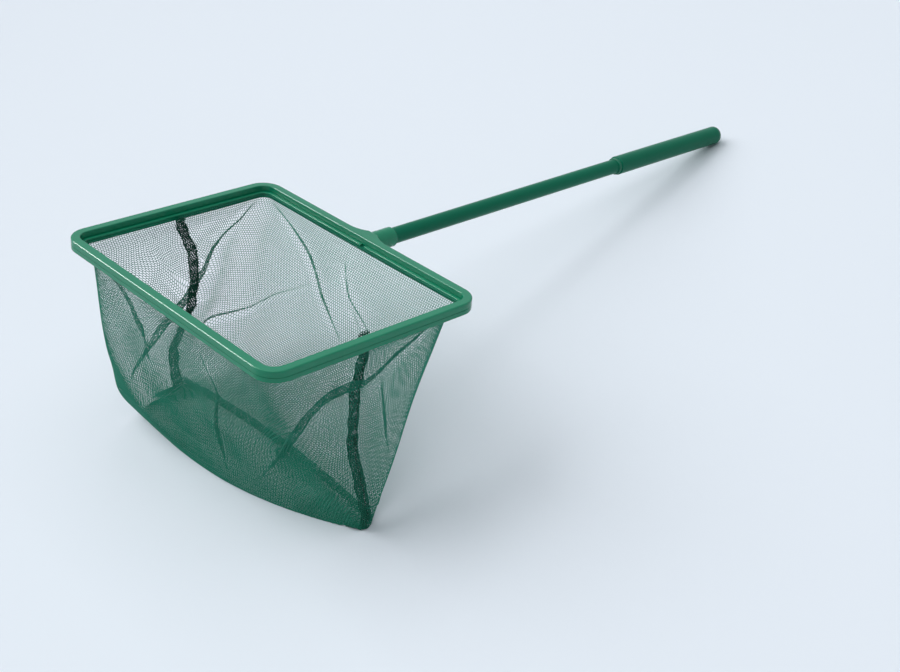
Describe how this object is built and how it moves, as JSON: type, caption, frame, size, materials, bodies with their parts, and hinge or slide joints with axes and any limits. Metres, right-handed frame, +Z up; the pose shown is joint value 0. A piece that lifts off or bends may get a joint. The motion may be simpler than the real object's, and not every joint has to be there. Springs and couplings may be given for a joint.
{
  "type": "aquarium fish net",
  "caption": "Rectangular aquarium fish net: clamped mesh bag under a moulded rim, on a telescopic round handle that slides and swivels.",
  "frame": {"origin": "on the table under the middle of the net's box, as it rests on the foot of its bag and the end of its grip", "axes": "+X along the rim's long sides, +Y from the bag towards the handle's free end, +Z up from the table"},
  "size_m": [0.2, 0.495, 0.1468],
  "materials": {
    "rim_plastic": "satin moulded",
    "ring_plastic": "satin moulded",
    "net_mesh": "knitted nylon hexagon mesh",
    "seam_mesh": "doubled and stitched nylon mesh",
    "tube_plastic": "smooth extruded",
    "plug_plastic": "moulded",
    "friction_plastic": "moulded",
    "grip_plastic": "smooth extruded",
    "collar_plastic": "moulded"
  },
  "bodies": {
    "net_head": {"rim_frame": "rim_plastic", "retaining_ring": "ring_plastic", "net_hem": "net_mesh", "net_bag": "net_mesh", "seam_left": "seam_mesh", "seam_right": "seam_mesh", "handle_tube": "tube_plastic", "tail_plug": "plug_plastic"},
    "swivel_ring": {"friction_ring": "friction_plastic"},
    "grip": {"grip_tube": "grip_plastic", "grip_collar": "collar_plastic", "grip_end_cap": "grip_plastic"}
  },
  "joints": [
    {"name": "handle_swivel", "type": "hinge", "parent": "net_head", "child": "swivel_ring", "pos_m": [0, 0.1327, 0.0372], "axis": [0, 0.9632, -0.2689], "continuous": true},
    {"name": "handle_slide", "type": "slide", "parent": "swivel_ring", "child": "grip", "axis": [0, -0.9632, 0.2689], "range_m": [0, 0.0882]}
  ]
}
